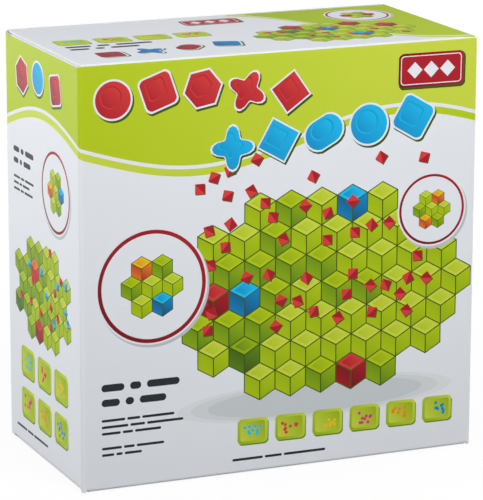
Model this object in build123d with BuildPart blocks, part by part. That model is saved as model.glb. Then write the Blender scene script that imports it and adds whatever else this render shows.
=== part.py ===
"""Printed retail carton with straight tuck ends, holding six stacking puzzle trays.

Millimetres. Origin at the middle of the base, +X to the right, the printed front
faces -Y, +Z up. The carton is one sheet of fine-flute board folded into a tube,
with a lid, a tuck flap and two dust flaps at each end. The trays stand on edge in
a row from front to back, their open sides facing the front.
"""
from build123d import *
import os
from math import asin, cos, degrees, hypot, radians, sin, sqrt

# Carton, outside
carton_w = 270.0
carton_d = 136.0
carton_h = 270.0
board_t = 1.5
corner_r = 2.5
fold_r = 1.2

# Room left between board faces that pass each other
board_gap = 0.3

# End closures
lid_inset = 2.0
lid_shoulder_r = 4.0
foot_w = 2.6
foot_slot = 1.4
tuck_depth = 18.0
tuck_inset = 6.0
tuck_corner_r = 9.0
tuck_follow = 1 / 3
dust_depth = 55.0
dust_mitre = 0.8
dust_corner_r = 5.0
dust_end_gap = 0.5

# Glued seam
glue_w = 16.0
glue_end = 8.0
glue_taper = 6.0

# Trays
tray_count = 6
tray_side_gap = 4.0
tray_front_gap = 0.5
tray_back_gap = 0.5
tray_rest_gap = 0.5
tray_rise = 3.5
tray_top_gap = 0.4
tray_wall = 1.8
tray_floor = 1.6
tray_corner_r = 14.0
tray_edge_r = 0.4
neck_half = 15.0
mouth_r = 8.0
throat_r = 5.0
bulb_r = 21.0
bulb_depth = 30.0

# Carton faces and fold lines
front_y = -carton_d / 2
back_y = carton_d / 2
side_x = carton_w / 2
lid_len = carton_d - board_t - board_gap
lid_half = side_x - lid_inset
dust_face = board_t + board_gap
dust_under = dust_face + board_t

# The tuck flap leans inwards, so that its tip clears the back panel as the lid lifts
tuck_exit = asin(tuck_depth / lid_len)
tuck_lean = (0.5 + tuck_follow) * tuck_exit + radians(0.6)
tuck_start = board_t * (1 + sin(tuck_lean)) / cos(tuck_lean) + 0.15
tuck_room = tuck_depth * sin(tuck_lean) + board_t * cos(tuck_lean)
tuck_inner_y = front_y + lid_len - tuck_room

# Dust flaps end in front of the tuck flap
dust_front_y = front_y + corner_r + dust_end_gap
dust_back_y = tuck_inner_y - 3.0

# Trays fill the inside
tray_w = carton_w - 2 * board_t - 2 * tray_side_gap
tray_l = carton_h - 2 * dust_under - tray_rest_gap - tray_rise - tray_top_gap
tray_z = dust_under + tray_rest_gap + tray_l / 2
tray_first_y = front_y + board_t + tray_front_gap
tray_last_y = tuck_inner_y - tray_back_gap
tray_pitch = (tray_last_y - tray_first_y + board_gap) / tray_count
tray_h = tray_pitch - board_gap

os.makedirs("parts", exist_ok=True)


def save(piece, label):
    """Name one piece and write its STEP file."""
    piece.part.label = label
    export_step(piece.part, f"parts/{label}.step")


def end_plane(end, depth):
    """Level plane at a depth below the top of the carton, or above its base."""
    return Plane.XY.offset(carton_h - depth if end == "top" else depth)


def tube_section(width, centre_x):
    """Ring of board around the folded tube, with rounded corners."""
    with BuildSketch() as ring:
        with Locations((centre_x, 0)):
            RectangleRounded(width, carton_d, corner_r)
            RectangleRounded(width - 2 * board_t, carton_d - 2 * board_t,
                             corner_r - board_t, mode=Mode.SUBTRACT)
    return ring.sketch


# Front panel with both rounded corners. The top lid rests on its upper edge. At the
# base the lid's fold lies between two short feet at the corners.
with BuildPart() as front_panel:
    with BuildSketch():
        add(tube_section(carton_w, 0))
        with Locations((0, front_y + corner_r / 2)):
            Rectangle(carton_w, corner_r, mode=Mode.INTERSECT)
    extrude(amount=carton_h - board_t)
    with BuildSketch():
        with Locations((0, front_y + corner_r / 2)):
            Rectangle(carton_w - 2 * foot_w, 2 * corner_r)
    extrude(amount=board_t, mode=Mode.SUBTRACT)
save(front_panel, "front_panel")

# Back panel, its raw edges level with the lids. Its right corner is set in by one
# board, because the glue flap there goes inside the right panel.
with BuildPart() as back_panel:
    with BuildSketch():
        add(tube_section(carton_w - board_t, -board_t / 2))
        with Locations((-board_t / 2, back_y - corner_r / 2)):
            Rectangle(carton_w - board_t, corner_r, mode=Mode.INTERSECT)
    extrude(amount=carton_h)
save(back_panel, "back_panel")

# Glue flap, tapered at both ends, on the inside of the right panel
with BuildPart() as glue_flap:
    with BuildSketch(Plane.YZ.offset(side_x - 2 * board_t)):
        with BuildLine():
            Polyline((back_y - corner_r, glue_end),
                     (back_y - corner_r, carton_h - glue_end),
                     (back_y - corner_r - glue_w, carton_h - glue_end - glue_taper),
                     (back_y - corner_r - glue_w, glue_end + glue_taper),
                     close=True)
        make_face()
    extrude(amount=board_t)
save(glue_flap, "glue_flap")


def side_panel(side, rear_y):
    """Side panel, cut back at both ends where its dust flaps fold over it."""
    outer_x = side * side_x
    first_y = front_y + corner_r
    with BuildPart() as panel:
        with BuildSketch(Plane.YZ.offset(outer_x)):
            with Locations(((first_y + rear_y) / 2, carton_h / 2)):
                Rectangle(rear_y - first_y, carton_h - 2 * dust_face)
            hinge_end = dust_back_y + dust_end_gap
            with Locations(((first_y + hinge_end) / 2, dust_face),
                           ((first_y + hinge_end) / 2, carton_h - dust_face)):
                Rectangle(hinge_end - first_y, 2 * board_t, mode=Mode.SUBTRACT)
        extrude(amount=-side * board_t)
    return panel


left_panel = side_panel(-1, back_y - corner_r)
save(left_panel, "left_panel")

# The right panel runs to the rear face, where its raw edge shows
right_panel = side_panel(1, back_y)
save(right_panel, "right_panel")


def end_lid(end, slot):
    """Lid hinged on the front panel, with rounded folds front and rear.

    A slot takes the fold's ends back from the carton's front feet.
    """
    mid_y = front_y + lid_len / 2
    mid_z = carton_h - board_t / 2 if end == "top" else board_t / 2
    with BuildPart() as lid:
        with BuildSketch(Plane.YZ) as profile:
            with Locations((mid_y, mid_z)):
                Rectangle(lid_len, board_t)
            outer = profile.vertices().group_by(Axis.Y)[-1 if end == "top" else 0]
            fillet(outer, fold_r)
        extrude(amount=lid_half, both=True)
        with BuildSketch(end_plane("bottom", mid_z - board_t)) as outline:
            with Locations((0, mid_y)):
                Rectangle(2 * lid_half, lid_len)
            rear = outline.vertices().group_by(Axis.Y)[-1]
            fillet(rear, lid_shoulder_r)
            if slot:
                slot_w = lid_half - (side_x - foot_w - foot_slot)
                with Locations((lid_half - slot_w / 2, front_y),
                               (-lid_half + slot_w / 2, front_y)):
                    Rectangle(slot_w, 2 * corner_r + 2 * board_gap, mode=Mode.SUBTRACT)
        extrude(amount=2 * board_t, mode=Mode.INTERSECT)
    return lid


def tuck_flap(end):
    """Flap folded in from the lid's rear edge, leaning away from the back panel."""
    inward = -1 if end == "top" else 1
    crease = Plane(
        origin=(0, front_y + lid_len, carton_h if end == "top" else 0),
        x_dir=(-inward, 0, 0),
        z_dir=(0, cos(tuck_lean), inward * sin(tuck_lean)),
    )
    with BuildPart() as flap:
        with BuildSketch(crease) as outline:
            with Locations((0, (tuck_start + tuck_depth) / 2)):
                Rectangle(2 * (side_x - tuck_inset), tuck_depth - tuck_start)
            fillet(outline.vertices().group_by(Axis.Y)[-1], tuck_corner_r)
        extrude(amount=-board_t)
    return flap


def dust_flap(end, side):
    """Flap folded in from a side panel, mitred at the front to clear the rising lid."""
    hinge_x = side * side_x
    tip_x = hinge_x - side * dust_depth
    with BuildPart() as flap:
        with BuildSketch(end_plane(end, dust_face)) as outline:
            with BuildLine():
                Polyline((hinge_x, dust_front_y),
                         (tip_x, dust_front_y + dust_mitre * dust_depth),
                         (tip_x, dust_back_y),
                         (hinge_x, dust_back_y),
                         close=True)
            make_face()
            tips = outline.vertices().group_by(Axis.X)[0 if side > 0 else -1]
            fillet(tips, dust_corner_r)
        extrude(amount=-board_t if end == "top" else board_t)
        crease = flap.edges().filter_by(Axis.Y).group_by(Axis.X)[-1 if side > 0 else 0]
        outer = crease.sort_by(Axis.Z)[-1 if end == "top" else 0]
        fillet(outer, fold_r)
    return flap


for end in ("top", "bottom"):
    save(end_lid(end, end == "bottom"), f"{end}_lid")
    save(tuck_flap(end), f"{end}_tuck_flap")
    save(dust_flap(end, -1), f"{end}_left_dust_flap")
    save(dust_flap(end, 1), f"{end}_right_dust_flap")


def tray_outline(inset):
    """Tray outline: a rounded square with a jigsaw socket in the middle of each side.

    A socket is a mouth rounded by mouth_r, a straight neck, a throat rounded by
    throat_r and a round bulb. The throat's centre is (n + t, q) from the bulb's
    centre, where n is neck_half, t is throat_r and q = sqrt((b + t)^2 - (n + t)^2).
    Inset moves every wall face inwards along its normal, so centres stay in place.
    """
    throat_x = neck_half + throat_r
    rise = sqrt((bulb_r + throat_r) ** 2 - throat_x ** 2)
    towards = (throat_x / hypot(throat_x, rise), rise / hypot(throat_x, rise))
    throat_lean = hypot(towards[0] + 1, towards[1])
    throat_mid = ((towards[0] + 1) / throat_lean, towards[1] / throat_lean)
    diagonal = sqrt(0.5)
    with BuildLine() as outline:
        for turn in range(4):
            half, reach = (tray_w / 2, tray_l / 2) if turn % 2 == 0 else (tray_l / 2, tray_w / 2)
            quarter = radians(-90 * turn)

            def spot(x, depth, half_reach=reach, angle=quarter):
                """Point x along this side and depth in from its face."""
                y = half_reach - depth
                return (x * cos(angle) - y * sin(angle), x * sin(angle) + y * cos(angle))

            def socket_side(hand):
                """Points down one side of the socket, from its mouth to its bulb."""
                throat_reach = throat_r - inset
                return [
                    spot(hand * (neck_half + mouth_r), inset),
                    spot(hand * (neck_half + mouth_r - (mouth_r - inset) * diagonal),
                         mouth_r - (mouth_r - inset) * diagonal),
                    spot(hand * (neck_half + inset), mouth_r),
                    spot(hand * (neck_half + inset), bulb_depth - rise),
                    spot(hand * (throat_x - throat_reach * throat_mid[0]),
                         bulb_depth - rise + throat_reach * throat_mid[1]),
                    spot(hand * (throat_x - throat_reach * towards[0]),
                         bulb_depth - rise + throat_reach * towards[1]),
                ]

            near = socket_side(-1)
            far = socket_side(1)
            far.reverse()
            corner = half - tray_corner_r
            bend = (tray_corner_r - inset) * diagonal
            Line(spot(-corner, inset), near[0])
            ThreePointArc(near[0], near[1], near[2])
            Line(near[2], near[3])
            ThreePointArc(near[3], near[4], near[5])
            ThreePointArc(near[5], spot(0, bulb_depth + bulb_r + inset), far[0])
            ThreePointArc(far[0], far[1], far[2])
            Line(far[2], far[3])
            ThreePointArc(far[3], far[4], far[5])
            Line(far[5], spot(corner, inset))
            ThreePointArc(spot(corner, inset), spot(corner + bend, tray_corner_r - bend),
                          spot(half - inset, tray_corner_r))
    return outline.edges()


# Trays on edge, numbered from the front, their floors towards the back
for number in range(1, tray_count + 1):
    floor_y = tray_first_y + number * tray_pitch - board_gap
    base = Plane(origin=(0, floor_y, tray_z), x_dir=(1, 0, 0), z_dir=(0, -1, 0))
    with BuildPart() as tray:
        with BuildSketch(base):
            make_face(tray_outline(0))
        extrude(amount=tray_h)
        with BuildSketch(base.offset(tray_floor)):
            make_face(tray_outline(tray_wall))
        extrude(amount=tray_h - tray_floor, mode=Mode.SUBTRACT)
        chamfer(tray.faces().sort_by(Axis.Y)[-1].edges(), tray_edge_r)
    save(tray, f"tray_{number}")
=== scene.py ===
# %% [markdown]
# # A printed carton with six stacking trays inside
# The object is a retail carton: one sheet of fine corrugated board, printed on its
# outside, cut, creased and folded into a tube, with a lid, a tuck flap and two dust
# flaps at each end. The lesson keeps that order. First the flat sheet gets its
# measure, then its print, then each panel is cut out of it and carried to its
# folded place, so a printed shape runs round a corner as it does on the real carton.

# %% Load the measured model
from math import cos, pi, radians, sin, tan

import bpy
import numpy as np
from mathutils import Matrix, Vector
from mathutils.geometry import delaunay_2d_cdt, tessellate_polygon


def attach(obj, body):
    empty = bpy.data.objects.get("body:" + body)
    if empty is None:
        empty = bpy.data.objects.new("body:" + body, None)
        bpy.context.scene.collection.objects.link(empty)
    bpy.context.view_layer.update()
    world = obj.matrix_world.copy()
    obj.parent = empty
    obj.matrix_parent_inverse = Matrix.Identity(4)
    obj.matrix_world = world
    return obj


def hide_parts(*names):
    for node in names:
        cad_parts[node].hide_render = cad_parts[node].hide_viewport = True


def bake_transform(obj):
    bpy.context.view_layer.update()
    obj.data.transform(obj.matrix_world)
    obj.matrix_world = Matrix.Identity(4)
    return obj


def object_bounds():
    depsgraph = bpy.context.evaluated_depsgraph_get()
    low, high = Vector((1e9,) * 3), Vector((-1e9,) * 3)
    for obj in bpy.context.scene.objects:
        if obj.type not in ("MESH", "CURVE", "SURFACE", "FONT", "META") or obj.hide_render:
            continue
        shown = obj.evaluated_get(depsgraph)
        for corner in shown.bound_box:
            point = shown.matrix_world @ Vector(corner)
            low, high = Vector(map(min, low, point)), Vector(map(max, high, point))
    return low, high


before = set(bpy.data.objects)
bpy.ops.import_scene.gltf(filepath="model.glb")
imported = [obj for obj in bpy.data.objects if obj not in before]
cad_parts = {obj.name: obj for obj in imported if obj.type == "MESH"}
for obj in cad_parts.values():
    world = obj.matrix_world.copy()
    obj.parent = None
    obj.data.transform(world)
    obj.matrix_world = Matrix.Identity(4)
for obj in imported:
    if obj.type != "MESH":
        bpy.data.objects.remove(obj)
cad_box = [[float(value) for value in corner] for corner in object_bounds()]
scene = bpy.context.scene
print(len(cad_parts), "measured pieces in the box", cad_box)

# %% [markdown]
# ## The blank's coordinates
# A point on the flat sheet is (u, v) in millimetres: u runs to the right along the
# outside of the tube, v runs up. The front is where u is x and v is z. One rule
# turns u into a place on the folded tube, corners included, so no panel has to be
# bent by hand. A third number is the depth below the printed face.

# %% Sizes in millimetres, from the measured box
HALF_WIDTH, HALF_DEPTH, HEIGHT = (round(1000 * value, 2) for value in cad_box[1])
BOARD, CORNER, GLUE_WIDTH = 1.5, 2.5, 16.0
SIDE_NEAR, SIDE_MIDDLE = HALF_WIDTH + CORNER, HALF_WIDTH + HALF_DEPTH
RIGHT_EDGE = HALF_WIDTH + 2 * HALF_DEPTH
SIDE_FAR, BACK_NEAR = RIGHT_EDGE - CORNER, -RIGHT_EDGE - CORNER
BACK_FAR = BACK_NEAR - 2 * (HALF_WIDTH - CORNER) + BOARD
GLUE_FOLD = BACK_FAR - 2 * CORNER
GLUE_TIP = GLUE_FOLD - GLUE_WIDTH
LID_HALF, LID_LENGTH, LID_REAR, LID_SHOULDER = 133.0, 134.2, 66.2, 1.2
BASE_FOLD_HALF, FOOT_HALF = 131.0, 132.4  # the base's fold ends, and the feet begin
TUCK_HALF, TUCK_REACH, TUCK_CORNER = 129.0, 18.0, 9.0
TUCK_LEAN = 7.02                          # degrees past square, towards the inside
SIDE_EDGE = 1.65                          # a side's crease lies this far from the end
DUST_FRONT, DUST_BACK, DUST_REACH = -65.0, 59.51, 55.0
DUST_SLANT, DUST_CORNER = 0.8, 5.0
CREASE = 3.0                              # half the width of a fold strip
ENDS = (("top", HEIGHT, 1.0), ("bottom", 0.0, -1.0))
HANDS = (("left", -1), ("right", 1))

# %% The folded tube as one path
# Along u the outward face turns by a quarter at each rounded corner. Between them a
# point runs straight. Both the turn and the corner's centre are linear in u. The
# glue flap and its corner come first, one board's thickness inside the rest.
x, y = HALF_WIDTH - CORNER, HALF_DEPTH - CORNER
PATH_U = [GLUE_TIP, GLUE_FOLD, BACK_FAR, BACK_NEAR, -SIDE_FAR, -SIDE_NEAR, -x, x, SIDE_NEAR,
          RIGHT_EDGE]
PATH_TURN = np.radians([0, 0, 90, 90, 180, 180, 270, 270, 360, 360])
PATH_X = [x - BOARD] * 3 + [-x] * 4 + [x] * 3
PATH_Y = [y - GLUE_WIDTH] + [y] * 4 + [-y] * 4 + [HALF_DEPTH]


def on_tube(u, v, depth):
    """Place on the tube: corner centre plus (corner radius - depth) times the outward face."""
    turn = np.interp(u, PATH_U, PATH_TURN)
    reach = CORNER - depth
    x = np.interp(u, PATH_U, PATH_X) + reach * np.cos(turn)
    y = np.interp(u, PATH_U, PATH_Y) + reach * np.sin(turn)
    return np.stack([x, y, v + 0 * x], axis=-1)


def bend_lines(middle, half, beyond):
    """Nine lines over the round part of a bend, and one just before and after it."""
    return [middle + step for step in (-beyond, *np.linspace(-half, half, 9), beyond)]


def corner_cuts(*middles):
    """Bend lines at rounded corners of the tube."""
    return [at for middle in middles for at in bend_lines(middle, CORNER, 2.9)]


print("tube runs", PATH_U[-1] - PATH_U[0], "mm along the sheet")

# %% [markdown]
# ## Creases at the lids and flaps
# A crease in board is a small round fold, not a sharp line. Its outside is an arc
# between two straight runs, and the board is pressed thinner in the middle. Each
# crease is described by its corner point, the way the first panel faces, the way
# the sheet travels there and the angle that it turns by.

# %% A crease and the panel beyond it
FOLD_RUN = 2.0      # length of sheet in the arc on each side of the fold line
PRESSED = 0.4       # share of its thickness that the board loses on that line


class Crease:
    """A fold across the sheet at v = line; s is how far a point lies past it."""

    def __init__(self, line, sense, corner, facing, travel, turn, along, shift=0.0):
        self.line, self.sense, self.turn = line, sense, radians(turn)
        self.corner, self.facing, self.travel = map(np.array, (corner, facing, travel))
        self.along, self.shift = np.array(along), shift
        self.onward = -sin(self.turn) * self.facing + cos(self.turn) * self.travel
        self.face_beyond = cos(self.turn) * self.facing + sin(self.turn) * self.travel

    def past(self, v):
        """Distance past the fold line, positive on the panel beyond it."""
        return self.sense * (v - self.line)

    def __call__(self, u, v, depth):
        """Arc of radius R = L / tan(turn / 2) with straight runs, less depth along its face."""
        s = self.past(v)
        radius = FOLD_RUN / tan(self.turn / 2)
        angle = self.turn * np.clip((s + FOLD_RUN) / (2 * FOLD_RUN), 0, 1)
        face = np.cos(angle)[..., None] * self.facing + np.sin(angle)[..., None] * self.travel
        place = self.corner - FOLD_RUN * self.travel - radius * self.facing + radius * face
        place = place + np.minimum(s + FOLD_RUN, 0)[..., None] * self.travel
        place = place + np.maximum(s - FOLD_RUN, 0)[..., None] * self.onward
        pressed = PRESSED * np.cos(np.clip(s / CREASE, -1, 1) * pi / 2) ** 2
        place = place - (depth * (1 - pressed))[..., None] * face
        return place + (u + self.shift)[..., None] * self.along


# %% All eight creases
CREASES = {}
for end, z, up in ENDS:
    rise, side_z = (0, 0, up), z - up * SIDE_EDGE
    CREASES[end + "_lid"] = Crease(z, up, (0, -HALF_DEPTH, z), (0, -1, 0), rise, 90, (1, 0, 0))
    CREASES[end + "_tuck_flap"] = Crease(z + up * LID_LENGTH, up, (0, LID_REAR, z), rise,
                                         (0, 1, 0), 90 + TUCK_LEAN, (1, 0, 0))
    for hand, side in HANDS:
        CREASES[f"{end}_{hand}_dust_flap"] = Crease(
            side_z, up, (side * HALF_WIDTH, 0, side_z), (side, 0, 0), rise, 90, (0, side, 0),
            -side * SIDE_MIDDLE)
print(len(CREASES), "creases")

# %% [markdown]
# ## Inks
# The print uses few inks: a family of limes, a cyan, a red, a near black for small
# marks, a little orange, yellow and pink, and the white of the coated paper. A
# printed shape may run from one tone to another along a line, as tints do in offset
# print.


# %% Colours as a printer would write them
def ink(code):
    """Hex colour in sRGB to linear light: ((c + 0.055) / 1.055) ^ 2.4, or c / 12.92 when dark."""
    c = np.array([int(code[i:i + 2], 16) for i in (0, 2, 4)]) / 255
    return np.where(c <= 0.04045, c / 12.92, ((c + 0.055) / 1.055) ** 2.4)


PAPER = "EDF0F5"
LIME_PALE, LIME, LIME_DEEP, LEAF, MOSS = "CEDC48", "B7CD10", "9AB60A", "5F8A12", "3B540C"
CYAN, CYAN_DEEP, NAVY = "1CC3F6", "0C8ECB", "12507E"
RED, RED_DEEP, MAROON = "DA3E3C", "AE1A28", "700C16"
ORANGE, YELLOW, PINK, SLATE, SILVER = "F08A24", "F2C81E", "D8377E", "27282C", "C3C8CC"

# %% [markdown]
# ## Printed shapes
# Every motif is made of closed outlines on the flat sheet, laid in order like layers
# of ink. An outline is an array of points: rings of angles for discs and polygons,
# and quarter arcs for rounded bars.

# %% Outlines of simple shapes
PRINT = []


def lay(points, tone, second=None, start=None, end=None):
    """Print one closed outline; with a second tone the ink runs from start to end."""
    points = np.asarray(points, float)
    start = points.min(0) if start is None else np.array(start, float)
    end = points.max(0) if end is None else np.array(end, float)
    PRINT.append((points, ink(tone), ink(second or tone), start, end))


def polygon(centre, radius, sides, turn=90.0):
    """Points centre + radius * (cos a, sin a) at equal angles a."""
    a = radians(turn) + np.arange(sides) * 2 * pi / sides
    return np.array(centre) + radius * np.stack([np.cos(a), np.sin(a)], -1)


def bar(centre, length, height, corner=None, turn=0.0):
    """Rounded bar: quarter arcs about four corner centres, turned about its middle."""
    corner = min(length, height) / 2 if corner is None else corner
    a = np.radians(np.arange(0, 360).reshape(4, 90)[:, ::18])
    sign = np.array([(1, 1), (-1, 1), (-1, -1), (1, -1)])[:, None]
    middle = sign * (length / 2 - corner, height / 2 - corner)
    points = (middle + corner * np.stack([np.cos(a), np.sin(a)], -1)).reshape(-1, 2)
    c, s = cos(radians(turn)), sin(radians(turn))
    return np.array(centre) + points @ np.array([(c, s), (-s, c)])


def petals(centre, radius, turn):
    """Rounded cross: radius times (0.76 + 0.24 cos(4 (a - turn))) at each angle a."""
    a = np.linspace(0, 2 * pi, 36, endpoint=False)
    r = radius * (0.76 + 0.24 * np.cos(4 * (a - radians(turn))))
    return np.array(centre) + r[:, None] * np.stack([np.cos(a), np.sin(a)], -1)


# %% [markdown]
# ## Motifs
# The print is made of a few plain motifs: rows of simple solid shapes with a white
# outline and a shadow, clusters of tumbling blocks (an old floor and quilt pattern
# of three lozenges a block), red rings with a few blocks inside, loose lozenges,
# dotted tiles and rows of small bars. Each is a function, so every panel shares one
# design.


# %% Solid shapes, badges and bars
def token(kind, centre, radius, tone, deep, turn=0.0):
    """One solid shape over a shadow and a white outline, with a raised middle."""
    draw = {"disc": lambda c, r: polygon(c, r, 36),
            "hexagon": lambda c, r: polygon(c, r * 1.06, 6, 90 + turn),
            "lozenge": lambda c, r: polygon(c, r * 1.12, 4, 90 + turn),
            "tile": lambda c, r: bar(c, r * 1.8, r * 1.8, r * 0.35, turn),
            "clover": lambda c, r: petals(c, r * 1.1, turn),
            "pebble": lambda c, r: bar(c, r * 2.1, r * 1.5, None, turn)}[kind]
    x, y = centre
    lay(draw((x + 0.9, y - 1.3), radius + 1.4), MOSS)
    lay(draw(centre, radius + 1.3), PAPER)
    lay(draw(centre, radius), deep, tone)
    middle = (x - radius * 0.12, y + radius * 0.14)
    lay(draw(middle, radius * 0.62), tone, deep)
    lay(draw(middle, radius * 0.55), deep, tone)


def badge(centre, length, height):
    """Plain red badge with a white line and three small lozenges."""
    x, y = centre
    lay(bar((x + 0.8, y - 1.0), length + 1, height + 1, 4), MOSS)
    lay(bar(centre, length, height, 4), MAROON, RED_DEEP)
    lay(bar(centre, length - 3.2, height - 3.2, 2.6), PAPER)
    lay(bar(centre, length - 4.4, height - 4.4, 2.2), RED_DEEP)
    for step in (-1, 0, 1):
        lay(polygon((x + step * length * 0.25, y), height * 0.24, 4), PAPER)


def lines(left, top, widths, height, pitch):
    """Rows of three short bars, each row as long as its width says."""
    for row, width in enumerate(widths):
        at = left
        for part in (0.34, 0.2, 0.46):
            length = max(width * part - height * 0.8, height)
            lay(bar((at + length / 2, top - row * pitch), length, height), SLATE)
            at += length + height * 0.8


# %% Tumbling blocks
LIME_BLOCKS = ((LIME_PALE, LIME, LIME_DEEP), (LIME, LIME_DEEP, LEAF), (LIME_DEEP, LEAF, MOSS))
RED_BLOCK, BLUE_BLOCK = (RED, RED_DEEP, MAROON), (CYAN, CYAN_DEEP, NAVY)
BRIGHT_SHARE = 0.14     # of the blocks in a cluster
ROOT_3 = 3 ** 0.5


def block(centre, side, tones):
    """Hexagon cut in three lozenges from its centre; the upper one holds a sunk panel."""
    corners = polygon(centre, side, 6)
    lay(polygon(centre, side * 1.03, 6), MOSS)
    light, middle, dark = tones
    for picks, tone, other in (([5, 0, 1], light, light), ([1, 2, 3], middle, dark),
                               ([3, 4, 5], dark, middle)):
        face = np.vstack([centre, corners[picks]])
        heart = face.mean(0)
        lay(heart + (face - heart) * 0.93, tone, other)
        if tone == light:
            lay(heart + (face - heart) * 0.62, middle, light)


def cluster(centre, side, half_width, half_height, seed):
    """Blocks on a hexagonal grid in an oval: columns sqrt(3) sides apart, rows 1.5 sides."""
    rng = np.random.default_rng(seed)
    bright = (RED_BLOCK, (ORANGE, RED, RED_DEEP), BLUE_BLOCK)
    rows = int(half_height / (1.5 * side))
    for row in range(-rows, rows + 1):
        y = row * 1.5 * side
        half = half_width * (1 - (y / (half_height * 1.25)) ** 2)
        count = int(half * 2 / (ROOT_3 * side))
        count += (count + row) % 2
        for column in range(count):
            x = (column - (count - 1) / 2) * ROOT_3 * side
            shade = int(np.clip(rng.normal(0.8 - x / half_width, 0.45), 0, 2.4))
            lively = rng.random() < BRIGHT_SHARE
            tones = bright[rng.integers(3)] if lively else LIME_BLOCKS[shade]
            block((centre[0] + x, centre[1] + y), side, tones)


def loose(low, high, count, size, seed, tones=((RED, RED_DEEP),)):
    """Small two-toned lozenges scattered from corner low to high, kept apart by their size."""
    rng = np.random.default_rng(seed)
    placed = np.empty((0, 2))
    for spot in rng.uniform(low, high, (count * 6, 2)):
        if len(placed) < count and (np.hypot(*(placed - spot).T) > size * 2.1).all():
            placed = np.vstack([placed, spot])
            turn = rng.uniform(0, 180)
            tone, deep = tones[rng.integers(len(tones))]
            lay(polygon(spot + (0.5, -0.6), size, 4, turn), MOSS)
            lay(polygon(spot, size, 4, turn), deep)
            lay(polygon(spot, size, 4, turn)[:3], tone)


def ring(centre, radius, seed):
    """White disc in a red ring, with seven blocks in it, two of them in another colour."""
    (x, y), side = centre, radius * 0.22
    lay(polygon((x + 1, y - 1.5), radius + 1.4, 64), SILVER)
    lay(polygon(centre, radius + 1.2, 64), PAPER)
    lay(polygon(centre, radius, 64), MAROON, RED_DEEP)
    lay(polygon(centre, radius - 0.07 * radius, 64), PAPER)
    rng = np.random.default_rng(seed)
    others = (BLUE_BLOCK, RED_BLOCK, (YELLOW, ORANGE, RED_DEEP))
    block(centre, side, LIME_BLOCKS[0])
    for step in range(6):
        a = radians(60 * step)
        spot = (x + ROOT_3 * side * cos(a), y + ROOT_3 * side * sin(a))
        lively = step % 3 == seed % 3
        block(spot, side, others[rng.integers(3)] if lively else LIME_BLOCKS[step % 2])


def swatches(left, top, columns, rows, size, pitch, seed):
    """Lime tiles, each with a few coloured dots, in columns and rows."""
    rng = np.random.default_rng(seed)
    dots = (CYAN, RED, YELLOW, PINK, ORANGE, CYAN_DEEP)
    for row in range(rows):
        for column in range(columns):
            x, y = left + column * pitch, top - row * pitch * 0.9
            lay(bar((x + 0.6, y - 0.9), size, size * 0.8, size * 0.16), LEAF)
            lay(bar((x, y), size, size * 0.8, size * 0.16), LIME_DEEP, LIME_PALE)
            lay(bar((x, y), size * 0.82, size * 0.62, size * 0.1), LIME_PALE, LIME_DEEP)
            tone = dots[(row * columns + column) % 6]
            for spot in rng.uniform(-0.26, 0.26, (9, 2)) * (size, size * 0.7):
                lay(polygon((x, y) + spot, size * 0.06, 5, rng.uniform(0, 72)), tone)


# %% The lime band round the tube, and the lime corner of the lid
def bank(u, edge, top, layers, start, end):
    """Layers of ink from a curved edge up to a straight line, each a drop below that edge."""
    for drop, tone, second in layers:
        rim = np.stack([u, edge - drop], -1)
        rim = rim[rim[:, 1] < top]
        lay(np.vstack([rim, [(u[-1], top), (rim[0, 0], top)]]), tone, second, start, end)


# Round the tube the edge is a wave of 17 mm, as long as the front is wide, with one of
# 3 mm on it. On the lid it is an S between two levels.
u = np.linspace(-560, 275, 220)
wave = 219 + 17 * np.sin(2 * pi * (u - 10) / 271) - 3 * np.sin(u / 37)
bank(u, wave, 269.2, ((9.5, LIME_PALE, LIME), (5.0, PAPER, PAPER), (2.6, LIME, LIME_PALE)),
     (-140, 200), (140, 270))
for left in (-SIDE_FAR, SIDE_NEAR):       # the sides' upper folds are left white
    lay([(left, 268.3), (left + 131, 268.3), (left + 131, 273), (left, 273)], PAPER)
u = np.linspace(16, 134, 40)
shore = 411 - 141 / (1 + np.exp(-(u - 62) / 17))
bank(u, shore, 409, ((2.5, LIME_PALE, LIME), (-2, PAPER, PAPER), (-4.5, LIME, LIME_DEEP)),
     (134, 290), (-40, 409))

# %% The front's design
KINDS = ("disc", "tile", "hexagon", "clover", "lozenge", "pebble")
for size, shade in ((1.0, "E6E9EA"), (0.9, "DCE0E2"), (0.78, "CFD4D7")):
    lay(polygon((0, 0), 1, 48) * (96 * size, 13 * size) + (24, 44), shade)
cluster((27, 114), 12.2, 98, 70, 5)
loose((-60, 92), (104, 205), 46, 4.6, 11)
for step in range(5):
    token(KINDS[step], (-113 + 29.5 * step, 247 + 3.5 * sin(step * 1.1)), 11.6, RED, RED_DEEP,
          step * 20)
for step in range(5):
    token(KINDS[(step + 3) % 6], (-34 + 31 * step, 211 + 2.6 * step), 12.6, CYAN, CYAN_DEEP,
          step * 15)
badge((102, 251), 46, 22)
ring((-88, 128), 36, 2)
ring((104, 160), 23, 4)
lines(-122, 66, (56, 47), 4.8, 9.6)
lines(-122, 45, (50, 56, 41), 1.7, 4.2)
lines(-122, 27, (43, 28), 1.7, 4.2)
swatches(-20, 27, 6, 1, 21, 26, 7)
lines(-34, 9, (66,), 1.7, 4.2)
print(len(PRINT), "printed shapes so far")

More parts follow.
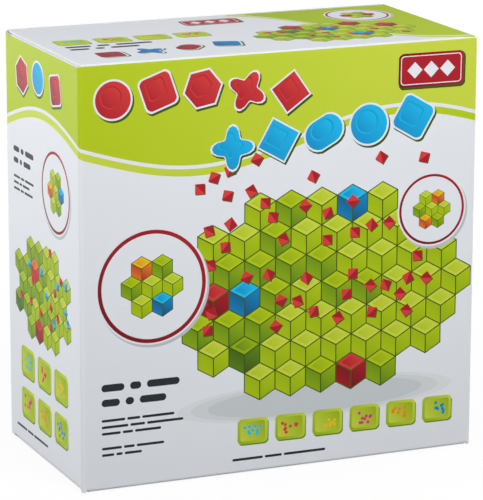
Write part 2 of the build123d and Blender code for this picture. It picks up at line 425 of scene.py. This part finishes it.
# %% The sides' designs
for middle, seed in ((-SIDE_MIDDLE, 21), (SIDE_MIDDLE, 31)):
    token("hexagon", (middle - 36, 246), 11, RED, MAROON, 10)
    token("disc", (middle - 6, 249), 10, CYAN, CYAN_DEEP)
    token("tile", (middle + 26, 247), 10, RED, MAROON, 12)
    ring((middle + 24, 182), 26, seed)
    lines(middle - 54, 196, (40, 34), 3.6, 7.4)
    lines(middle - 54, 178, (38, 30, 36), 1.6, 4)
    cluster((middle - 2, 110), 8.5, 50, 32, seed)
    loose((middle - 44, 92), (middle + 44, 142), 18, 3.3, seed,
          ((RED, RED_DEEP), (CYAN, CYAN_DEEP)))
    swatches(middle - 32, 58, 3, 2, 25, 31, seed)
    lines(middle - 54, 12, (60,), 1.6, 4)

# %% The lid's and the back's designs
for step in range(4):
    token(KINDS[(step * 2 + 1) % 6], (-104 + 27 * step, 297 + 3 * step), 9.5,
          (RED_DEEP, CYAN_DEEP)[step % 2], (MAROON, NAVY)[step % 2], step * 25)
cluster((58, 320), 8, 52, 26, 41)
loose((14, 302), (100, 338), 14, 3.2, 43)
swatches(-112, 345, 4, 1, 22, 27, 44)
lines(-122, 329, (62, 50), 4.8, 8.6)
badge((-2, 384), 40, 17)
ring((98, 372), 21, 6)
ring((-470, 176), 30, 8)
cluster((-378, 130), 10.5, 76, 44, 51)
loose((-440, 104), (-316, 176), 28, 4, 52, ((RED, RED_DEEP), (ORANGE, RED)))
for step in range(6):
    token(KINDS[step], (-510 + 32.5 * step, 242 + 4 * sin(step)), 11, (CYAN, RED)[step % 2],
          (CYAN_DEEP, MAROON)[step % 2], step * 17)
swatches(-500, 60, 3, 2, 26, 32, 53)
lines(-388, 62, (90, 84, 92, 70), 2.2, 5.4)
lines(-388, 34, (64, 58), 1.7, 4.2)
badge((-300, 250), 44, 20)
print(len(PRINT), "printed shapes")

# %% [markdown]
# ## Cutting a panel out of the printed sheet
# A picture texture could carry the print, but here each printed shape is a real cut
# in the outer paper, so its edge stays sharp at any distance. A triangulation takes
# the panel's outline, the shapes that touch it and the lines where the sheet bends,
# and says which shapes cover each triangle. The last one printed gives the ink.


# %% Triangulate outline, shapes and bend lines together
def cut_sheet(outline, across=(), along=(), printed=True):
    """Points, triangles, the number of the topmost shape on each, and the shapes."""
    outline = np.array(outline, float)
    low, high = outline.min(0), outline.max(0)
    shapes = [(outline, ink(PAPER), ink(PAPER), low, high)]
    shapes += [shape for shape in PRINT if printed and (shape[0].max(0) > low).all()
               and (shape[0].min(0) < high).all()]
    points, faces, count = [], [], 0
    for loop, *_ in shapes:
        x, y = loop.T
        if np.sum(x * np.roll(y, -1) - y * np.roll(x, -1)) < 0:
            loop = loop[::-1]
        points.append(loop)
        faces.append(list(range(count, count + len(loop))))
        count += len(loop)
    bends = [((at, low[1] - 1), (at, high[1] + 1)) for at in across if low[0] < at < high[0]]
    bends += [((low[0] - 1, at), (high[0] + 1, at)) for at in along if low[1] < at < high[1]]
    edges = [(count + 2 * i, count + 2 * i + 1) for i in range(len(bends))]
    points = np.vstack(points + bends)
    places, _, cells, _, _, owners = delaunay_2d_cdt(points.tolist(), edges, faces, 1, 1e-4, True)
    inside = [(cell, max(covers)) for cell, covers in zip(cells, owners) if 0 in covers]
    triangles, tops = map(np.array, zip(*inside))
    used, renumbered = np.unique(triangles, return_inverse=True)
    return np.array(places)[used], renumbered.reshape(-1, 3), tops, shapes


def ink_of(points, triangles, tops, shapes):
    """Ink at each triangle's corners: a mix by distance along the shape's start-end line."""
    first, second, start, end = (np.array(part)[tops, None] for part in list(zip(*shapes))[1:])
    run = end - start
    share = ((points[triangles] - start) * run).sum(-1, keepdims=True)
    share = np.clip(share / np.maximum((run ** 2).sum(-1, keepdims=True), 1e-9), 0, 1)
    return first * (1 - share) + second * share


# %% [markdown]
# ## Board in three layers
# Fine-flute board is two papers with a wave of paper between them. Both papers are
# thin closed shells. The wave is a sine sheet whose flutes run up the tube. At every
# raw edge all three show, as they do where the real board was cut.


# %% Closed paper shell
def split(a, b, c, d):
    """Two triangles for each cell whose corners are a, b, c and d, in turn."""
    return np.vstack([np.stack([a, b, c], -1).reshape(-1, 3),
                      np.stack([a, c, d], -1).reshape(-1, 3)])


def paper_shell(points, triangles, place, near, far):
    """Triangles at two depths, joined by a wall round every edge that has one triangle."""
    count = len(points)
    u, v = points.T
    here = np.vstack([place(u, v, near + 0 * u), place(u, v, far + 0 * u)])
    ways = np.vstack([triangles[:, [0, 1]], triangles[:, [1, 2]], triangles[:, [2, 0]]])
    rim = ways[~np.isin(ways[:, 0] * count + ways[:, 1], ways[:, 1] * count + ways[:, 0])]
    a, b = rim.T
    return here, triangles, triangles[:, ::-1] + count, split(a, a + count, b + count, b)


# %% The wave between the papers
OUTER_PAPER, INNER_PAPER = 0.28, 1.22     # depths where the papers meet the wave
FLUTE_PITCH, FLUTE_SWING = 3.3, 0.37      # length of a wave, and its swing each way
FLUTE_HALF = 0.09                         # half the thickness of the waved paper
CRUSHED = 0.7                             # a cut flute is crushed over about this length


def span(outline):
    """Each u where the outline turns, with its neighbours, and the lowest and highest v there."""
    a, b = np.array(outline), np.roll(outline, -1, 0)
    near, far = np.minimum(a, b)[:, 0], np.maximum(a, b)[:, 0]
    us = np.unique(a[:, 0].round(4))
    us = np.unique(np.concatenate([us, us[:-1] + 1e-3, us[1:] - 1e-3]))
    floor, roof = [], []
    for u in us:
        crossed = (near <= u) & (u <= far) & (far - near > 1e-9)
        p, q = a[crossed], b[crossed]
        v = p[:, 1] + (u - p[:, 0]) / (q[:, 0] - p[:, 0]) * (q[:, 1] - p[:, 1])
        floor.append(v.min())
        roof.append(v.max())
    return us, floor, roof


def wave_sheet(outline, place):
    """Sheet at half the board's depth + swing * sin(2 pi u / pitch), solid at its side edges."""
    us, floor, roof = span(outline)
    first, last = us[0], us[-1]
    u = np.linspace(first, last, int((last - first) / FLUTE_PITCH * 8) + 1)
    share = np.linspace(0, 1, 7)[:, None]
    v = np.interp(u, us, floor) * (1 - share) + np.interp(u, us, roof) * share
    u = u + 0 * v
    crush = np.exp(-(np.minimum(u - first, last - u) / CRUSHED) ** 2)
    middle = BOARD / 2 + FLUTE_SWING * (1 - crush) * np.sin(2 * pi * u / FLUTE_PITCH)
    half = FLUTE_HALF + FLUTE_SWING * crush
    grid = np.stack([place(u, v, middle - half), place(u, v, middle + half)])
    index, size = np.arange(u.size).reshape(u.shape), u.size
    near = split(index[:-1, :-1], index[:-1, 1:], index[1:, 1:], index[1:, :-1])
    edge = np.concatenate([index[0, :-1], index[:-1, -1], index[-1, :0:-1], index[:0:-1, 0]])
    after = np.roll(edge, -1)
    walls = split(edge, edge + size, after + size, after)
    return grid.reshape(-1, 3), np.vstack([near, near[:, ::-1] + size, walls])


# %% [markdown]
# ## Materials
# The board's outside is coated paper, offset printed and varnished. Its inside and
# its wave are uncoated. Photographed textures could give their look, but a small node
# tree needs no picture and stays sharp. Fixed numbers sit on the shader's own
# sockets. Nodes work out only colour, roughness and small relief.


# %% One helper for every node, and what the finishes share
def add(tree, kind, links=(), **settings):
    """Adds a node. Settings name its inputs or properties; links name inputs and their sources.

    A source is a socket, or a node for its first output.
    """
    node = tree.nodes.new("ShaderNode" + kind)
    for key, value in settings.items():
        if key in node.bl_rna.properties:
            setattr(node, key, value)
        else:
            node.inputs[key.replace("_", " ")].default_value = value
    for name, source in dict(links).items():
        tree.links.new(getattr(source, "outputs", [source])[0], node.inputs[name])
    return node


def empty_finish(name):
    """New material with an empty node tree."""
    material = bpy.data.materials.new(name)
    material.use_nodes = True
    material.node_tree.nodes.clear()
    return material, material.node_tree


def paint(code):
    """Hex colour as the four numbers of a colour socket."""
    return (*ink(code), 1.0)


# %% Coated printed paper
def make_printed_paper():
    """Ink from the sheet, rubbed pale where wear + noise passes 0.9, under a soft varnish."""
    material, tree = empty_finish("coated_printed_paper")
    place = {"Vector": add(tree, "TexCoord").outputs["Object"]}
    # The ink attribute holds the colour, and in its alpha how hard the place is rubbed.
    # Noise breaks up the rub in specks of 2.4 mm.
    inks = add(tree, "VertexColor", layer_name="ink")
    specks = add(tree, "TexNoise", place, Scale=420.0, Detail=6.0)
    rub = add(tree, "Math", {0: specks, 1: inks.outputs["Alpha"]}, operation="ADD")
    worn = add(tree, "MapRange", {"Value": rub}, From_Min=0.9, From_Max=1.3, To_Max=0.4)
    colour = add(tree, "Mix", {0: worn, 6: inks}, data_type="RGBA")
    colour.inputs[7].default_value = paint("F4F3EF")
    # A sheen that wanders over 17 mm makes the sides look varnished and not plastic.
    cloud = add(tree, "TexNoise", place, Scale=60.0, Detail=5.0)
    gloss = add(tree, "MapRange", {"Value": cloud}, To_Min=0.58, To_Max=0.64)
    # One faint line to a flute shows through; the wave node counts 20 radians to a unit.
    # Fibres of 0.45 mm keep the light from lying flat.
    flutes = add(tree, "TexWave", {"Vector": add(tree, "UVMap", uv_map="sheet")}, Distortion=0.0,
                 Scale=2 * pi / 20 / (FLUTE_PITCH * 0.001), wave_profile="SIN",
                 bands_direction="X")
    fibres = add(tree, "TexNoise", place, Scale=2200.0, Detail=3.0)
    ridges = add(tree, "Bump", {"Height": flutes}, Strength=0.05, Distance=0.0004)
    relief = add(tree, "Bump", {"Height": fibres, "Normal": ridges}, Strength=0.06,
                 Distance=0.0002)
    shader = add(tree, "BsdfPrincipled", {"Base Color": colour.outputs[2], "Roughness": gloss,
                                          "Normal": relief}, Specular_IOR_Level=0.18)
    add(tree, "OutputMaterial", {"Surface": shader})
    return material


# %% Uncoated papers, for the carton's inside and for the wave
def make_plain_paper(name, light, dark, grain):
    """Uncoated paper: pale fibres over a darker pulp, matt, with grain to the metre."""
    material, tree = empty_finish(name)
    place = {"Vector": add(tree, "TexCoord").outputs["Object"]}
    pulp = add(tree, "TexNoise", place, Scale=grain, Detail=6.0)
    colour = add(tree, "ValToRGB", {"Fac": pulp})
    for stop, at, code in zip(colour.color_ramp.elements, (0.35, 0.65), (dark, light)):
        stop.position, stop.color = at, paint(code)
    relief = add(tree, "Bump", {"Height": pulp}, Strength=0.15, Distance=0.0002)
    shader = add(tree, "BsdfPrincipled", {"Base Color": colour, "Normal": relief}, Roughness=0.82)
    add(tree, "OutputMaterial", {"Surface": shader})
    return material


PAPERS = (make_printed_paper(),
          make_plain_paper("uncoated_white_paper", "F0F0F1", "E8E8E8", 900.0),
          make_plain_paper("fluting_paper", "EEEEED", "E6E6E4", 700.0))
PRINTED, RAW, FLUTED = range(3)
print("papers:", [paper.name for paper in PAPERS])


# %% Put arrays into a mesh
def build_mesh(name, places, triangles, finish, materials):
    """Millimetre arrays to a smooth mesh in metres, sharp where faces meet at over 45 degrees."""
    mesh = bpy.data.meshes.new(name)
    mesh.from_pydata(places * 0.001, [], triangles)
    for material in materials:
        mesh.materials.append(material)
    mesh.polygons.foreach_set("material_index", finish.astype(np.int32))
    mesh.shade_smooth()
    mesh.set_sharp_from_angle(angle=radians(45))
    piece = bpy.data.objects.new(name, mesh)
    scene.collection.objects.link(piece)
    return piece


# %% [markdown]
# ## From sheet to board
# A board is built from its outline, the rule that places it and the lines where it
# bends. Large panels are not dead flat on a real carton, so a panel sinks inwards by
# a few tenths of a millimetre between its edges. Its print is rubbed at the corners
# and folds, which take most of the handling.

# %% Assemble the layers of one board
RAW_EDGE = "ECEAE6"     # ink attribute of the faces without print


def make_board(name, outline, place, across=(), along=(), wear=None, fluted=True):
    """Outer paper, inner paper, and a wave or a pressed core between them, as one object."""
    points, triangles, tops, shapes = cut_sheet(outline, across, along)
    plain, cells, _, _ = cut_sheet(outline, across, along, printed=False)
    layers = [(paper_shell(points, triangles, place, 0.0, OUTER_PAPER), (PRINTED, RAW, RAW)),
              (paper_shell(plain, cells, place, INNER_PAPER, BOARD), (RAW,) * 3)]
    layers.append((wave_sheet(outline, place) if fluted else
                   paper_shell(plain, cells, place, OUTER_PAPER, INNER_PAPER), (FLUTED,) * 3))
    places, faces, finish, count = [], [], [], 0
    for (here, *sets), numbers in layers:
        for triangle_set, number in zip(sets, numbers):
            faces.append(triangle_set + count)
            finish.append(np.full(len(triangle_set), number))
        places.append(here)
        count += len(here)
    piece = build_mesh(name, np.vstack(places), np.vstack(faces), np.concatenate(finish), PAPERS)
    write_print(piece.data, points[triangles].reshape(-1, 2),
                ink_of(points, triangles, tops, shapes).reshape(-1, 3), wear)
    print(name, len(triangles), "printed triangles,", len(piece.data.polygons), "in all")
    return piece


def write_print(mesh, flat, tones, wear):
    """Ink, rub and sheet place at the corners of the printed faces, which come first."""
    printed, corners = len(flat), len(mesh.loops)
    inks = np.tile(np.float32((*ink(RAW_EDGE), 0)), (corners, 1))
    inks[:printed, :3] = tones
    if wear is not None:
        inks[:printed, 3] = wear(*flat.T)
    layer = mesh.attributes.new("ink", "FLOAT_COLOR", "CORNER")
    layer.data.foreach_set("color", inks.ravel())
    uv = np.zeros((corners, 2), np.float32)
    uv[:printed] = flat * 0.001
    mesh.uv_layers.new(name="sheet").data.foreach_set("uv", uv.ravel())


# %% How a panel sinks, and how its print is rubbed
def sinking(place, low, high, amount):
    """The same place, sunk by about amount * sin * sin between the corners low and high."""
    def sunk(u, v, depth):
        """Depth grows by a half wave each way, so edges stay where they are."""
        across = np.sin(pi * np.clip((u - low[0]) / (high[0] - low[0]), 0, 1))
        along = np.sin(pi * np.clip((v - low[1]) / (high[1] - low[1]), 0, 1))
        ripple = 1 + 0.25 * np.sin(u / 23.0 + v / 41.0)
        return place(u, v, depth + amount * across * along * ripple)
    return sunk


def corner_wear(u, v):
    """Rub on the print: bells a side's width apart that take in the corners, and at both ends."""
    fold = np.abs((np.abs(u) - HALF_WIDTH + HALF_DEPTH) % (2 * HALF_DEPTH) - HALF_DEPTH)
    edge = np.minimum(np.abs(v), np.abs(v - HEIGHT))
    return 0.16 * np.exp(-(fold / 1.6) ** 2) + 0.2 * np.exp(-(edge / 2.0) ** 2)


# %% [markdown]
# ## The tube's four panels
# Front, left, back and right are one strip of board. The front keeps both rounded
# corners. Its upper edge steps up beside the lid's fold, and its lower edge comes
# down in a short foot at each corner. The back ends in the glue flap.


# %% Outlines that repeat on the other side or the other end
def mirrored(points):
    """The same points at -u, in reverse, to carry an outline on."""
    return [(-u, v) for u, v in points[::-1]]


def upturned(points):
    """The same points at HEIGHT - v, in reverse."""
    return [(u, HEIGHT - v) for u, v in points[::-1]]


# %% Front panel
panels = {}
levels = np.arange(27, 260, 27)           # lines that let a panel sink
cross_lines = list(np.arange(-110, 120, 27.5))
foot = [(BASE_FOLD_HALF, CREASE), (BASE_FOLD_HALF, BOARD), (FOOT_HALF, BOARD), (FOOT_HALF, 0),
        (SIDE_NEAR, 0)]
shoulder = [(SIDE_NEAR, HEIGHT - BOARD), (LID_HALF, HEIGHT - BOARD), (LID_HALF, HEIGHT - CREASE)]
panels["front_panel"] = make_board(
    "front_board", mirrored(foot) + foot + shoulder + mirrored(shoulder),
    sinking(on_tube, (-132, 3), (132, 267), 0.3),
    corner_cuts(-HALF_WIDTH, HALF_WIDTH) + cross_lines, levels, corner_wear)

# %% Left and right panels: cut back where the dust flaps fold
near, far, low = -SIDE_MIDDLE - DUST_FRONT, -SIDE_MIDDLE - DUST_BACK, SIDE_EDGE
foot = [(-SIDE_FAR, low), (far - 0.5, low), (far - 0.5, low + BOARD), (far, low + BOARD),
        (far, low + CREASE), (near, low + CREASE), (near, low + BOARD), (-SIDE_NEAR, low + BOARD)]
left_outline = foot + upturned(foot)
panels["left_panel"] = make_board(
    "left_board", left_outline, sinking(on_tube, (-268, 5), (-138, 265), 0.45),
    np.arange(-250, -140, 22), levels, corner_wear)
right_outline = [(RIGHT_EDGE if u == SIDE_FAR else u, v) for u, v in mirrored(left_outline)]
panels["right_panel"] = make_board(
    "right_board", right_outline, sinking(on_tube, (138, 5), (270, 265), 0.45),
    np.arange(160, 265, 22), levels, corner_wear)

# %% Back panel with both its corners, and the glue flap inside the right panel
foot = [(GLUE_FOLD, 1.8), (BACK_FAR, 0), (BACK_NEAR, 0), (-SIDE_FAR, 1.8)]
panels["back_panel"] = make_board(
    "back_board", foot + upturned(foot), sinking(on_tube, (-535, 0), (-275, 270), 0.25),
    corner_cuts(-RIGHT_EDGE, (GLUE_FOLD + BACK_FAR) / 2) + list(np.arange(-520, -280, 26)),
    levels, corner_wear)
foot = [(GLUE_TIP, 14), (GLUE_FOLD, 8)]
panels["glue_flap"] = make_board("glue_flap_board", foot + upturned(foot), on_tube)

# %% [markdown]
# ## Lids, tuck flaps and dust flaps
# Past each crease the same rule goes on in a straight line, so a flap is only an
# outline beyond its fold. The lid's rear shoulders are rounded beside the narrower
# tuck flap, and that flap's free corners are rounded to slide in.


# %% Outlines beyond the creases
def arc(x, y, radius, first, last):
    """Eight points on a circle from one angle to another, in degrees."""
    angles = np.radians(np.linspace(first, last, 8))
    return [(x + radius * cos(a), y + radius * sin(a)) for a in angles]


def flap_outline(half, crease):
    """Right half of a flap, as distances past its crease, and its mirror image."""
    return [(u, crease.line + crease.sense * s) for u, s in half + mirrored(half)]


def dust_outline(side, crease):
    """Dust flap past its crease: its front edge slants back, and its corners are rounded."""
    tip = DUST_FRONT + DUST_SLANT * DUST_REACH
    points = [(DUST_FRONT + DUST_SLANT * CREASE, CREASE),
              (tip - DUST_SLANT * 4.2, DUST_REACH - 4.2),
              (tip - DUST_SLANT * 1.6, DUST_REACH - 1.6), (tip + 0.6, DUST_REACH - 0.3),
              (tip + 2.4, DUST_REACH),
              *arc(DUST_BACK - DUST_CORNER, DUST_REACH - DUST_CORNER, DUST_CORNER, 90, 0),
              (DUST_BACK, CREASE)]
    return [(side * (y + SIDE_MIDDLE), crease.line + crease.sense * s) for y, s in points]


LID_EDGE = [(LID_HALF, CREASE),
            *arc(LID_HALF - LID_SHOULDER, LID_LENGTH - LID_SHOULDER, LID_SHOULDER, 0, 90),
            (TUCK_HALF, LID_LENGTH - CREASE)]
TUCK_EDGE = [(TUCK_HALF, CREASE),
             *arc(TUCK_HALF - TUCK_CORNER, TUCK_REACH - TUCK_CORNER, TUCK_CORNER, 0, 90)]

# %% Build both ends
flaps = {}
for end, line, up in ENDS:
    lid, tuck = CREASES[end + "_lid"], CREASES[end + "_tuck_flap"]
    low, high = sorted((line + up * 3, line + up * 131))
    flaps[end + "_lid"] = make_board(end + "_lid_board", flap_outline(LID_EDGE, lid),
                                     sinking(lid, (-132, low), (132, high), 0.12), cross_lines,
                                     line + up * np.arange(22, 130, 22))
    flaps[end + "_tuck_flap"] = make_board(end + "_tuck_board", flap_outline(TUCK_EDGE, tuck),
                                           tuck)
    for hand, side in HANDS:
        name = f"{end}_{hand}_dust"
        dust = CREASES[name + "_flap"]
        flaps[name + "_flap"] = make_board(name + "_board", dust_outline(side, dust), dust)
print(len(flaps), "lids and flaps")

# %% [markdown]
# ## The folds themselves
# Each crease is its own short strip of board, built already rounded in its folded
# place between the first panel and its flap.


# %% Fold strips
def make_fold(name, node, ends):
    """Strip of pressed board 3 mm each side of the crease named by node, between the two ends
    given.
    """
    crease, (first, last) = CREASES[node], ends
    low, high = crease.line - CREASE, crease.line + CREASE
    piece = make_board(name, [(first, low), (last, low), (last, high), (first, high)], crease, (),
                       bend_lines(crease.line, FOLD_RUN, 2.3),
                       lambda u, v: 0.25 * np.exp(-(crease.past(v) / 1.7) ** 2), fluted=False)
    # The way between the two panels, halfway between the sheet's travel before the
    # crease and its way onward after it; nothing here uses it.
    way = crease.onward + crease.travel
    way /= np.linalg.norm(way)
    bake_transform(piece)
    return piece


for end, line, up in ENDS:
    half = LID_HALF if end == "top" else BASE_FOLD_HALF
    make_fold(end + "_front_fold", end + "_lid", (-half, half))
    make_fold(end + "_rear_fold", end + "_tuck_flap", (-TUCK_HALF, TUCK_HALF))
    for hand, side in HANDS:
        ends = sorted(side * (y + SIDE_MIDDLE) for y in (DUST_FRONT, DUST_BACK))
        make_fold(f"{end}_{hand}_fold", f"{end}_{hand}_dust_flap", ends)

# %% Boards stand for the measured panels, each under an empty named for its body
for node, piece in (panels | flaps).items():
    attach(piece, "carton" if node in panels else node)
    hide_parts(node)

# %% [markdown]
# ## The trays
# Each tray is injection moulded in lime polypropylene, a shallow dish on a rounded
# square with a jigsaw socket in the middle of each side. A wall section, with a
# stacking foot, a slight draft and a rounded rim, is carried round that outline.
# The outline's own outward direction is known from its arcs, so moving inwards by
# the section's inset needs no mesh tool.


# %% Outline of a tray with its outward directions
def tray_outline():
    """Lines and arcs of one side, turned four times: places and outward directions."""
    half, corner_r, neck, mouth, throat, bulb, deep = 129.5, 14.0, 15.0, 8.0, 5.0, 21.0, 30.0
    rise = ((bulb + throat) ** 2 - (neck + throat) ** 2) ** 0.5
    lean = np.arctan2(neck + throat, rise)

    def curve(centre, radius, first, last, steps, outwards=1):
        """Arc where angle a faces (sin a, -cos a) in across and depth."""
        a = np.linspace(first, last, steps)
        face = np.stack([np.sin(a), -np.cos(a)], -1)
        return np.hstack([np.array(centre) + radius * face, face * outwards])

    left = np.vstack([curve((-neck - mouth, mouth), mouth, 0, pi / 2, 9),
                      curve((-neck - throat, deep - rise), throat, pi / 2, pi - lean, 6)])
    round_bulb = curve((0, deep), bulb, -lean, lean - 2 * pi, 44, -1)[1:-1]
    right = left[::-1] * (-1, 1, -1, 1)
    corner = curve((half - corner_r, corner_r), corner_r, 0, pi / 2, 12)
    side = np.vstack([left, round_bulb, right, corner]) * (1, -1, 1, -1) + (0, half, 0, 0)
    turned = []
    for quarter in range(4):
        c, s = cos(-quarter * pi / 2), sin(-quarter * pi / 2)
        turn = np.array([(c, s), (-s, c)])
        turned.append(np.hstack([side[:, :2] @ turn, side[:, 2:] @ turn]))
    return np.hsplit(np.vstack(turned)[::-1], 2)


TRAY_PLACES, TRAY_FACES = tray_outline()
print("tray outline", len(TRAY_PLACES), "points")

# %% Wall section: how far in and how high, from the foot over the rim to the floor
TRAY_SECTION = np.array([
    (1.3, 0.0), (0.9, 0.25), (0.8, 0.6), (0.75, 1.7), (0.45, 2.0), (0.22, 2.3), (0.12, 17.2),
    (0.02, 17.5), (0.0, 17.9), (0.0, 20.45), (0.1, 20.8), (0.35, 21.03), (0.7, 21.085),
    (1.2, 21.06), (1.5, 20.9), (1.62, 20.6), (1.78, 4.2), (1.95, 2.9), (2.5, 2.05), (3.4, 1.68),
    (4.4, 1.6)])
TRAY_PITCH, TRAY_GAP = 21.385, 0.3        # from tray to tray, and the room between two
TRAYS_FRONT, TRAYS_MIDDLE = -66.0, 133.3  # y where the row begins, and the trays' middle in z


def make_tray(number, materials):
    """Section carried round the outline, closed by a flat floor inside and outside."""
    inset, height = TRAY_SECTION.T
    rings, count = len(inset), len(TRAY_PLACES)
    flat = TRAY_PLACES - inset[:, None, None] * TRAY_FACES
    back = TRAYS_FRONT + number * TRAY_PITCH - TRAY_GAP
    places = np.stack([flat[..., 0].ravel(), back - np.repeat(height, count),
                       flat[..., 1].ravel() + TRAYS_MIDDLE], -1)
    index = np.arange(rings * count).reshape(rings, count)
    after = np.roll(index, -1, 1)
    faces = [split(index[:-1], after[:-1], after[1:], index[1:])]
    for row, up in ((0, -1), (rings - 1, 1)):
        outline = flat[row]
        found = np.array(tessellate_polygon([[(x, y, 0) for x, y in outline]]))
        p = outline[found]
        area = np.cross(p[:, 1] - p[:, 0], p[:, 2] - p[:, 0])
        wrong = area * up < 0
        found[wrong] = found[wrong][:, ::-1]
        faces.append(found + row * count)
    faces = np.vstack(faces)
    return build_mesh(f"sorting_tray_{number}", places, faces, np.zeros(len(faces)), materials)


# %% Moulded polypropylene
def make_tray_plastic():
    """Lime satin plastic: 56 mm flow clouds in colour and gloss, and a 0.4 mm eroded grain."""
    material, tree = empty_finish("lime_polypropylene")
    place = {"Vector": add(tree, "TexCoord").outputs["Object"]}
    flow = add(tree, "TexNoise", place, Scale=18.0, Detail=3.0)
    grain = add(tree, "TexNoise", place, Scale=2600.0, Detail=2.0)
    colour = add(tree, "ValToRGB", {"Fac": flow})
    for stop, at, code in zip(colour.color_ramp.elements, (0.3, 0.7), ("B0C80C", "BCD41C")):
        stop.position, stop.color = at, paint(code)
    gloss = add(tree, "MapRange", {"Value": flow}, To_Min=0.34, To_Max=0.46)
    relief = add(tree, "Bump", {"Height": grain}, Strength=0.12, Distance=0.0002)
    shader = add(tree, "BsdfPrincipled", {"Base Color": colour, "Roughness": gloss,
                                          "Normal": relief},
                 Subsurface_Weight=0.08, Subsurface_Scale=0.004)
    add(tree, "OutputMaterial", {"Surface": shader})
    return material


tray_plastic = make_tray_plastic()
for number in range(1, 7):
    tray = make_tray(number, [tray_plastic])
    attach(tray, f"tray_{number}")
    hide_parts(f"tray_{number}")
print("tray faces:", len(tray.data.polygons))

# %% [markdown]
# ## Floor, light and camera
# The carton stands on a plain pale floor that runs out of sight. For light the floor
# is a mid grey and the world a soft one, so that neither fills the shaded sides. To
# the camera, and in reflections, both are white, and the floor keeps the carton's
# soft shadow.


# %% Floor
def seen_by_eye(tree):
    """1 for camera, glossy and transmission rays, and 0 for the light that falls on things."""
    ray = add(tree, "LightPath")
    seen = ray.outputs["Is Camera Ray"]
    for name in ("Is Transmission Ray", "Is Glossy Ray"):
        seen = add(tree, "Math", {0: seen, 1: ray.outputs[name]}, operation="MAXIMUM")
    return seen


def make_floor_finish():
    """Matt grey with 0.65 of a white glow mixed in for the eye, a little stronger far away."""
    material, tree = empty_finish("studio_floor")
    matt = add(tree, "BsdfPrincipled", Base_Color=paint("8C8C8C"), Roughness=0.9,
               Specular_IOR_Level=0.1)
    share = add(tree, "Math", {0: seen_by_eye(tree)}, operation="MULTIPLY")
    share.inputs[1].default_value = 0.65
    place = add(tree, "TexCoord").outputs["Object"]
    away = add(tree, "VectorMath", {0: place}, operation="LENGTH").outputs["Value"]
    level = add(tree, "MapRange", {"Value": away}, From_Min=0.15, From_Max=1.3, To_Min=1.39,
                To_Max=1.49)
    glow = add(tree, "Emission", {"Strength": level})
    add(tree, "OutputMaterial", {"Surface": add(tree, "MixShader", {0: share, 1: matt, 2: glow})})
    return material


REACH, LEVEL = 6000, -0.4       # just under the base, so that the two don't meet
corners = np.array([(-REACH, -REACH, LEVEL), (REACH, -REACH, LEVEL), (REACH, REACH, LEVEL),
                    (-REACH, REACH, LEVEL)])
floor = build_mesh("studio_floor", corners, [(0, 1, 2, 3)], np.zeros(1), [make_floor_finish()])
print("floor", floor.dimensions.x, "m across")

# %% World: soft grey for light, white to the camera and in reflections
world = bpy.data.worlds.new("studio")
scene.world = world
world.use_nodes = True
tree = world.node_tree
tree.nodes.clear()
soft = add(tree, "Background", Color=(0.95, 0.97, 1.0, 1.0), Strength=0.3)
white = add(tree, "Background", Color=paint("FFFFFF"))
mix = add(tree, "MixShader", {0: seen_by_eye(tree), 1: soft, 2: white})
add(tree, "OutputWorld", {"Surface": mix})


# %% Lamps: five large soft boxes
def soft_box(name, place, target, size, power):
    """Round area lamp turned from its place towards a target, in metres and watts."""
    lamp = bpy.data.lights.new(name, "AREA")
    lamp.shape, lamp.size, lamp.energy = "DISK", size, power
    box = bpy.data.objects.new(name, lamp)
    scene.collection.objects.link(box)
    back = np.subtract(place, target)
    back /= np.linalg.norm(back)
    right = np.cross((0, 0, 1), back)
    right /= np.linalg.norm(right)
    turn = Matrix((right, np.cross(back, right), back)).transposed().to_4x4()
    box.matrix_world = Matrix.Translation(place) @ turn


# The key lights the front, the left box the left side and the top box the lid. The
# low rear box gives the left side its sheen. The right box is for views from there.
soft_box("key_box", (0.09, -0.68, 0.5), (0.03, -0.068, 0.22), 0.6, 3.36)
soft_box("left_box", (-0.76, -0.14, 0.45), (-0.135, 0, 0.22), 0.6, 2.65)
soft_box("rear_box", (-0.52, 0.9, 0.14), (-0.05, 0.068, 0.14), 0.7, 5.3)
soft_box("right_box", (1.0, 0.12, 0.33), (0.135, 0, 0.15), 0.7, 4)
soft_box("top_box", (0.08, 0.3, 1.15), (0, 0, 0.27), 0.6, 1.45)
print(len(bpy.data.lights), "soft boxes")

# %% Camera, from a fit to the carton's corners in the photograph
AZIMUTH, RISE, ROLL = radians(-23.214), radians(13.781), radians(0.142)
DISTANCE, TARGET = 2.04029, np.array([0.001101, 0.0, 0.127489])
FOCAL, FRAME_HEIGHT = 3151.09, 500      # both in the photograph's pixels
back = np.array([sin(AZIMUTH) * cos(RISE), -cos(AZIMUTH) * cos(RISE), sin(RISE)])
level = np.array([cos(AZIMUTH), sin(AZIMUTH), 0])
upright = np.cross(back, level)
right = level * cos(ROLL) + upright * sin(ROLL)
up = upright * cos(ROLL) - level * sin(ROLL)
lens = bpy.data.cameras.new("camera")
lens.lens = FOCAL * lens.sensor_width / FRAME_HEIGHT
lens.clip_end = 50
camera = bpy.data.objects.new("camera", lens)
scene.collection.objects.link(camera)
camera.matrix_world = (Matrix.Translation(TARGET + back * DISTANCE)
                       @ Matrix((right, up, back)).transposed().to_4x4())
scene.camera = camera
scene.view_settings.view_transform = "Standard"
print("lens", round(lens.lens, 1), "mm")
